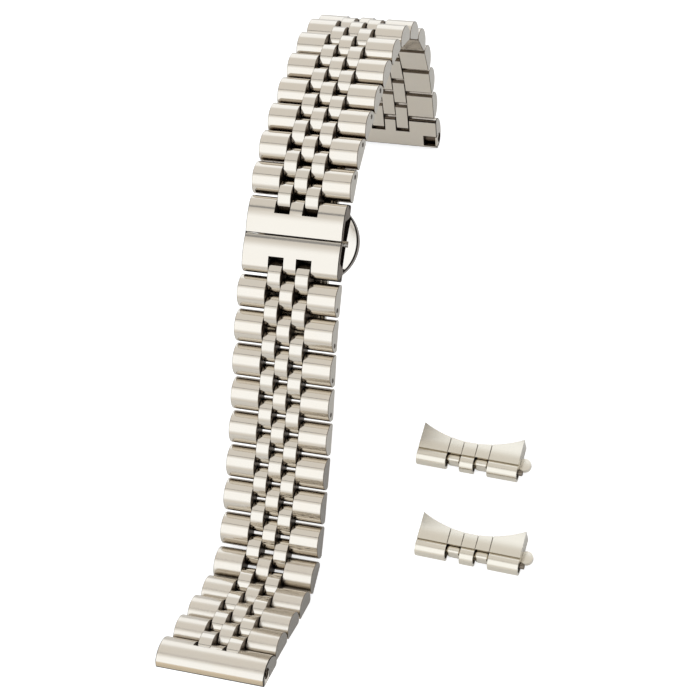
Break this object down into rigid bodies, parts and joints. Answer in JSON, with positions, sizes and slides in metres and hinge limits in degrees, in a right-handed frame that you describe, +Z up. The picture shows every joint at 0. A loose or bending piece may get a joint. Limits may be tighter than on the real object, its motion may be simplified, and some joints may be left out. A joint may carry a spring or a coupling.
{
  "type": "watch bracelet",
  "caption": "Steel link watch bracelet with domed tapering strands, a folding clasp with side buttons, straight end bars and a loose pair of curved end links.",
  "frame": {"origin": "middle of the standing piece's footprint, on the surface it stands on", "axes": "+X to the right across the strands, towards the loose end links; +Y away from the viewer, along the strands to the upper end; +Z up, out of the arch"},
  "size_m": [0.0591, 0.1342, 0.0457],
  "materials": {
    "link_steel": "polished and satin stainless steel with a warm tint",
    "clasp_steel": "satin stainless steel"
  },
  "bodies": {
    "clasp_base": {"clasp_base": "clasp_steel"},
    "lower_blade": {"lower_blade": "clasp_steel"},
    "lower_cover": {"lower_cover": "link_steel"},
    "lower_mids_00": {"lower_mids_00": "link_steel"},
    "lower_row_01": {"lower_row_01": "link_steel"},
    "lower_mids_01": {"lower_mids_01": "link_steel"},
    "lower_row_02": {"lower_row_02": "link_steel"},
    "lower_mids_02": {"lower_mids_02": "link_steel"},
    "lower_row_03": {"lower_row_03": "link_steel"},
    "lower_mids_03": {"lower_mids_03": "link_steel"},
    "lower_row_04": {"lower_row_04": "link_steel"},
    "lower_mids_04": {"lower_mids_04": "link_steel"},
    "lower_row_05": {"lower_row_05": "link_steel"},
    "lower_mids_05": {"lower_mids_05": "link_steel"},
    "lower_row_06": {"lower_row_06": "link_steel"},
    "lower_mids_06": {"lower_mids_06": "link_steel"},
    "lower_row_07": {"lower_row_07": "link_steel"},
    "lower_mids_07": {"lower_mids_07": "link_steel"},
    "lower_row_08": {"lower_row_08": "link_steel"},
    "lower_mids_08": {"lower_mids_08": "link_steel"},
    "lower_row_09": {"lower_row_09": "link_steel"},
    "lower_mids_09": {"lower_mids_09": "link_steel"},
    "lower_row_10": {"lower_row_10": "link_steel"},
    "lower_mids_10": {"lower_mids_10": "link_steel"},
    "lower_row_11": {"lower_row_11": "link_steel"},
    "lower_mids_11": {"lower_mids_11": "link_steel"},
    "lower_row_12": {"lower_row_12": "link_steel"},
    "lower_mids_12": {"lower_mids_12": "link_steel"},
    "lower_end_bar": {"lower_end_bar": "link_steel"},
    "upper_blade": {"upper_blade": "clasp_steel"},
    "upper_cover": {"upper_cover": "link_steel"},
    "upper_mids_00": {"upper_mids_00": "link_steel"},
    "upper_row_01": {"upper_row_01": "link_steel"},
    "upper_mids_01": {"upper_mids_01": "link_steel"},
    "upper_row_02": {"upper_row_02": "link_steel"},
    "upper_mids_02": {"upper_mids_02": "link_steel"},
    "upper_row_03": {"upper_row_03": "link_steel"},
    "upper_mids_03": {"upper_mids_03": "link_steel"},
    "upper_row_04": {"upper_row_04": "link_steel"},
    "upper_mids_04": {"upper_mids_04": "link_steel"},
    "upper_row_05": {"upper_row_05": "link_steel"},
    "upper_mids_05": {"upper_mids_05": "link_steel"},
    "upper_row_06": {"upper_row_06": "link_steel"},
    "upper_mids_06": {"upper_mids_06": "link_steel"},
    "upper_row_07": {"upper_row_07": "link_steel"},
    "upper_mids_07": {"upper_mids_07": "link_steel"},
    "upper_row_08": {"upper_row_08": "link_steel"},
    "upper_mids_08": {"upper_mids_08": "link_steel"},
    "upper_row_09": {"upper_row_09": "link_steel"},
    "upper_mids_09": {"upper_mids_09": "link_steel"},
    "upper_row_10": {"upper_row_10": "link_steel"},
    "upper_mids_10": {"upper_mids_10": "link_steel"},
    "upper_row_11": {"upper_row_11": "link_steel"},
    "upper_mids_11": {"upper_mids_11": "link_steel"},
    "upper_row_12": {"upper_row_12": "link_steel"},
    "upper_mids_12": {"upper_mids_12": "link_steel"},
    "upper_end_bar": {"upper_end_bar": "link_steel"},
    "left_pusher": {"left_pusher": "clasp_steel"},
    "right_pusher": {"right_pusher": "clasp_steel"},
    "curved_end_links": {"curved_end_links": "link_steel"}
  },
  "joints": [
    {"name": "lower_blade_hinge", "type": "hinge", "parent": "clasp_base", "child": "lower_blade", "pos_m": [-0.01875, -0.00282, 0.02459], "axis": [1, 0, 0], "range_deg": [0, 160]},
    {"name": "lower_cover_hinge", "type": "hinge", "parent": "lower_blade", "child": "lower_cover", "pos_m": [-0.01875, 0.00747, 0.03415], "axis": [1, 0, 0], "range_deg": [-161, 1]},
    {"name": "lower_mids_00_pin", "type": "hinge", "parent": "lower_cover", "child": "lower_mids_00", "pos_m": [-0.01875, 0.00402, 0.0347], "axis": [-1, 0, 0], "range_deg": [-7, 23]},
    {"name": "lower_row_01_pin", "type": "hinge", "parent": "lower_mids_00", "child": "lower_row_01", "pos_m": [-0.01875, 0.00127, 0.03302], "axis": [1, 0, 0], "range_deg": [-23, 10]},
    {"name": "lower_mids_01_pin", "type": "hinge", "parent": "lower_row_01", "child": "lower_mids_01", "pos_m": [-0.01875, -0.00139, 0.03119], "axis": [-1, 0, 0], "range_deg": [-16, 22.5]},
    {"name": "lower_row_02_pin", "type": "hinge", "parent": "lower_mids_01", "child": "lower_row_02", "pos_m": [-0.01875, -0.00396, 0.02925], "axis": [1, 0, 0], "range_deg": [-22.5, 17.5]},
    {"name": "lower_mids_02_pin", "type": "hinge", "parent": "lower_row_02", "child": "lower_mids_02", "pos_m": [-0.01875, -0.00645, 0.02719], "axis": [-1, 0, 0], "range_deg": [-18, 22]},
    {"name": "lower_row_03_pin", "type": "hinge", "parent": "lower_mids_02", "child": "lower_row_03", "pos_m": [-0.01875, -0.00886, 0.02505], "axis": [1, 0, 0], "range_deg": [-22, 18]},
    {"name": "lower_mids_03_pin", "type": "hinge", "parent": "lower_row_03", "child": "lower_mids_03", "pos_m": [-0.01875, -0.0112, 0.02283], "axis": [-1, 0, 0], "range_deg": [-20.5, 19.5]},
    {"name": "lower_row_04_pin", "type": "hinge", "parent": "lower_mids_03", "child": "lower_row_04", "pos_m": [-0.01875, -0.01355, 0.02063], "axis": [1, 0, 0], "range_deg": [-19.5, 20.5]},
    {"name": "lower_mids_04_pin", "type": "hinge", "parent": "lower_row_04", "child": "lower_mids_04", "pos_m": [-0.01875, -0.01593, 0.01845], "axis": [-1, 0, 0], "range_deg": [-21.5, 18.5]},
    {"name": "lower_row_05_pin", "type": "hinge", "parent": "lower_mids_04", "child": "lower_row_05", "pos_m": [-0.01875, -0.01836, 0.01633], "axis": [1, 0, 0], "range_deg": [-18.5, 21.5]},
    {"name": "lower_mids_05_pin", "type": "hinge", "parent": "lower_row_05", "child": "lower_mids_05", "pos_m": [-0.01875, -0.02085, 0.01428], "axis": [-1, 0, 0], "range_deg": [-21.5, 18.5]},
    {"name": "lower_row_06_pin", "type": "hinge", "parent": "lower_mids_05", "child": "lower_row_06", "pos_m": [-0.01875, -0.02339, 0.01229], "axis": [1, 0, 0], "range_deg": [-18.5, 21.5]},
    {"name": "lower_mids_06_pin", "type": "hinge", "parent": "lower_row_06", "child": "lower_mids_06", "pos_m": [-0.01875, -0.02598, 0.01037], "axis": [-1, 0, 0], "range_deg": [-19.5, 20.5]},
    {"name": "lower_row_07_pin", "type": "hinge", "parent": "lower_mids_06", "child": "lower_row_07", "pos_m": [-0.01875, -0.02855, 0.00843], "axis": [1, 0, 0], "range_deg": [-20.5, 19.5]},
    {"name": "lower_mids_07_pin", "type": "hinge", "parent": "lower_row_07", "child": "lower_mids_07", "pos_m": [-0.01875, -0.03111, 0.00646], "axis": [-1, 0, 0], "range_deg": [-22, 18]},
    {"name": "lower_row_08_pin", "type": "hinge", "parent": "lower_mids_07", "child": "lower_row_08", "pos_m": [-0.01875, -0.03373, 0.00458], "axis": [1, 0, 0], "range_deg": [-18, 22]},
    {"name": "lower_mids_08_pin", "type": "hinge", "parent": "lower_row_08", "child": "lower_mids_08", "pos_m": [-0.01875, -0.03642, 0.0028], "axis": [-1, 0, 0], "range_deg": [-34.5, 5.5]},
    {"name": "lower_row_09_pin", "type": "hinge", "parent": "lower_mids_08", "child": "lower_row_09", "pos_m": [-0.01875, -0.03947, 0.00175], "axis": [1, 0, 0], "range_deg": [-5.5, 34.5]},
    {"name": "lower_mids_09_pin", "type": "hinge", "parent": "lower_row_09", "child": "lower_mids_09", "pos_m": [-0.01875, -0.04268, 0.00149], "axis": [-1, 0, 0], "range_deg": [-38, 2]},
    {"name": "lower_row_10_pin", "type": "hinge", "parent": "lower_mids_09", "child": "lower_row_10", "pos_m": [-0.01875, -0.04582, 0.00224], "axis": [1, 0, 0], "range_deg": [-2, 38]},
    {"name": "lower_mids_10_pin", "type": "hinge", "parent": "lower_row_10", "child": "lower_mids_10", "pos_m": [-0.01875, -0.04857, 0.00393], "axis": [-1, 0, 0], "range_deg": [-22, 18]},
    {"name": "lower_row_11_pin", "type": "hinge", "parent": "lower_mids_10", "child": "lower_row_11", "pos_m": [-0.01875, -0.05126, 0.0057], "axis": [1, 0, 0], "range_deg": [-18, 22]},
    {"name": "lower_mids_11_pin", "type": "hinge", "parent": "lower_row_11", "child": "lower_mids_11", "pos_m": [-0.01875, -0.05389, 0.00757], "axis": [-1, 0, 0], "range_deg": [-18.5, 21.5]},
    {"name": "lower_row_12_pin", "type": "hinge", "parent": "lower_mids_11", "child": "lower_row_12", "pos_m": [-0.01875, -0.05656, 0.00938], "axis": [1, 0, 0], "range_deg": [-21.5, 18.5]},
    {"name": "lower_mids_12_pin", "type": "hinge", "parent": "lower_row_12", "child": "lower_mids_12", "pos_m": [-0.01875, -0.05929, 0.01111], "axis": [-1, 0, 0], "range_deg": [-19.5, 20.5]},
    {"name": "lower_end_bar_pin", "type": "hinge", "parent": "lower_mids_12", "child": "lower_end_bar", "pos_m": [-0.01875, -0.06202, 0.01281], "axis": [1, 0, 0], "range_deg": [-20.5, 19.5]},
    {"name": "upper_blade_hinge", "type": "hinge", "parent": "clasp_base", "child": "upper_blade", "pos_m": [-0.01875, 0.02617, 0.04037], "axis": [-1, 0, 0], "range_deg": [0, 160]},
    {"name": "upper_cover_hinge", "type": "hinge", "parent": "upper_blade", "child": "upper_cover", "pos_m": [-0.01875, 0.01256, 0.03692], "axis": [-1, 0, 0], "range_deg": [-161, 1]},
    {"name": "upper_mids_00_pin", "type": "hinge", "parent": "upper_cover", "child": "upper_mids_00", "pos_m": [-0.01875, 0.01397, 0.04012], "axis": [1, 0, 0], "range_deg": [-2, 25]},
    {"name": "upper_row_01_pin", "type": "hinge", "parent": "upper_mids_00", "child": "upper_row_01", "pos_m": [-0.01875, 0.01692, 0.04141], "axis": [-1, 0, 0], "range_deg": [-25, 3]},
    {"name": "upper_mids_01_pin", "type": "hinge", "parent": "upper_row_01", "child": "upper_mids_01", "pos_m": [-0.01875, 0.01998, 0.04243], "axis": [1, 0, 0], "range_deg": [-5, 26]},
    {"name": "upper_row_02_pin", "type": "hinge", "parent": "upper_mids_01", "child": "upper_row_02", "pos_m": [-0.01875, 0.02313, 0.04313], "axis": [-1, 0, 0], "range_deg": [-26, 11]},
    {"name": "upper_mids_02_pin", "type": "hinge", "parent": "upper_row_02", "child": "upper_mids_02", "pos_m": [-0.01875, 0.02633, 0.0435], "axis": [1, 0, 0], "range_deg": [-15, 25]},
    {"name": "upper_row_03_pin", "type": "hinge", "parent": "upper_mids_02", "child": "upper_row_03", "pos_m": [-0.01875, 0.02956, 0.04359], "axis": [-1, 0, 0], "range_deg": [-25, 15]},
    {"name": "upper_mids_03_pin", "type": "hinge", "parent": "upper_row_03", "child": "upper_mids_03", "pos_m": [-0.01875, 0.03278, 0.04339], "axis": [1, 0, 0], "range_deg": [-19.5, 20.5]},
    {"name": "upper_row_04_pin", "type": "hinge", "parent": "upper_mids_03", "child": "upper_row_04", "pos_m": [-0.01875, 0.03599, 0.04317], "axis": [-1, 0, 0], "range_deg": [-20.5, 19.5]},
    {"name": "upper_mids_04_pin", "type": "hinge", "parent": "upper_row_04", "child": "upper_mids_04", "pos_m": [-0.01875, 0.03921, 0.04292], "axis": [1, 0, 0], "range_deg": [-19.5, 20.5]},
    {"name": "upper_row_05_pin", "type": "hinge", "parent": "upper_mids_04", "child": "upper_row_05", "pos_m": [-0.01875, 0.04242, 0.04264], "axis": [-1, 0, 0], "range_deg": [-20.5, 19.5]},
    {"name": "upper_mids_05_pin", "type": "hinge", "parent": "upper_row_05", "child": "upper_mids_05", "pos_m": [-0.01875, 0.04563, 0.04234], "axis": [1, 0, 0], "range_deg": [-14.5, 25.5]},
    {"name": "upper_row_06_pin", "type": "hinge", "parent": "upper_mids_05", "child": "upper_row_06", "pos_m": [-0.01875, 0.0488, 0.04172], "axis": [-1, 0, 0], "range_deg": [-25.5, 14.5]},
    {"name": "upper_mids_06_pin", "type": "hinge", "parent": "upper_row_06", "child": "upper_mids_06", "pos_m": [-0.01875, 0.05189, 0.04081], "axis": [1, 0, 0], "range_deg": [-12, 28]},
    {"name": "upper_row_07_pin", "type": "hinge", "parent": "upper_mids_06", "child": "upper_row_07", "pos_m": [-0.01875, 0.05483, 0.03948], "axis": [-1, 0, 0], "range_deg": [-28, 12]},
    {"name": "upper_mids_07_pin", "type": "hinge", "parent": "upper_row_07", "child": "upper_mids_07", "pos_m": [-0.01875, 0.05755, 0.03775], "axis": [1, 0, 0], "range_deg": [-11, 29]},
    {"name": "upper_row_08_pin", "type": "hinge", "parent": "upper_mids_07", "child": "upper_row_08", "pos_m": [-0.01875, 0.05997, 0.03561], "axis": [-1, 0, 0], "range_deg": [-29, 11]},
    {"name": "upper_mids_08_pin", "type": "hinge", "parent": "upper_row_08", "child": "upper_mids_08", "pos_m": [-0.01875, 0.06202, 0.03312], "axis": [1, 0, 0], "range_deg": [-8.5, 31.5]},
    {"name": "upper_row_09_pin", "type": "hinge", "parent": "upper_mids_08", "child": "upper_row_09", "pos_m": [-0.01875, 0.06354, 0.03028], "axis": [-1, 0, 0], "range_deg": [-31.5, 8.5]},
    {"name": "upper_mids_09_pin", "type": "hinge", "parent": "upper_row_09", "child": "upper_mids_09", "pos_m": [-0.01875, 0.06445, 0.02719], "axis": [1, 0, 0], "range_deg": [-11.5, 28.5]},
    {"name": "upper_row_10_pin", "type": "hinge", "parent": "upper_mids_09", "child": "upper_row_10", "pos_m": [-0.01875, 0.06491, 0.02399], "axis": [-1, 0, 0], "range_deg": [-28.5, 11.5]},
    {"name": "upper_mids_10_pin", "type": "hinge", "parent": "upper_row_10", "child": "upper_mids_10", "pos_m": [-0.01875, 0.06488, 0.02077], "axis": [1, 0, 0], "range_deg": [-15.5, 24.5]},
    {"name": "upper_row_11_pin", "type": "hinge", "parent": "upper_mids_10", "child": "upper_row_11", "pos_m": [-0.01875, 0.0646, 0.01756], "axis": [-1, 0, 0], "range_deg": [-24.5, 15.5]},
    {"name": "upper_mids_11_pin", "type": "hinge", "parent": "upper_row_11", "child": "upper_mids_11", "pos_m": [-0.01875, 0.06407, 0.01437], "axis": [1, 0, 0], "range_deg": [-16.5, 23.5]},
    {"name": "upper_row_12_pin", "type": "hinge", "parent": "upper_mids_11", "child": "upper_row_12", "pos_m": [-0.01875, 0.06335, 0.01123], "axis": [-1, 0, 0], "range_deg": [-23.5, 16.5]},
    {"name": "upper_mids_12_pin", "type": "hinge", "parent": "upper_row_12", "child": "upper_mids_12", "pos_m": [-0.01875, 0.06244, 0.00814], "axis": [1, 0, 0], "range_deg": [-17.5, 22.5]},
    {"name": "upper_end_bar_pin", "type": "hinge", "parent": "upper_mids_12", "child": "upper_end_bar", "pos_m": [-0.01875, 0.06139, 0.00509], "axis": [-1, 0, 0], "range_deg": [-22.5, 17.5]},
    {"name": "left_pusher_slide", "type": "slide", "parent": "clasp_base", "child": "left_pusher", "axis": [1, 0, 0], "range_m": [0, 0.0008], "stiffness_N_per_m": 800, "springref_m": -0.002},
    {"name": "right_pusher_slide", "type": "slide", "parent": "clasp_base", "child": "right_pusher", "axis": [-1, 0, 0], "range_m": [0, 0.0008], "stiffness_N_per_m": 800, "springref_m": -0.002},
    {"name": "curved_end_links_lift", "type": "slide", "parent": "clasp_base", "child": "curved_end_links", "axis": [0, 0, 1], "range_m": [0, 0.05]}
  ],
  "couplings": [
    {"joint": "lower_cover_hinge", "follows": "lower_blade_hinge", "ratio": -1},
    {"joint": "upper_cover_hinge", "follows": "upper_blade_hinge", "ratio": -1}
  ]
}
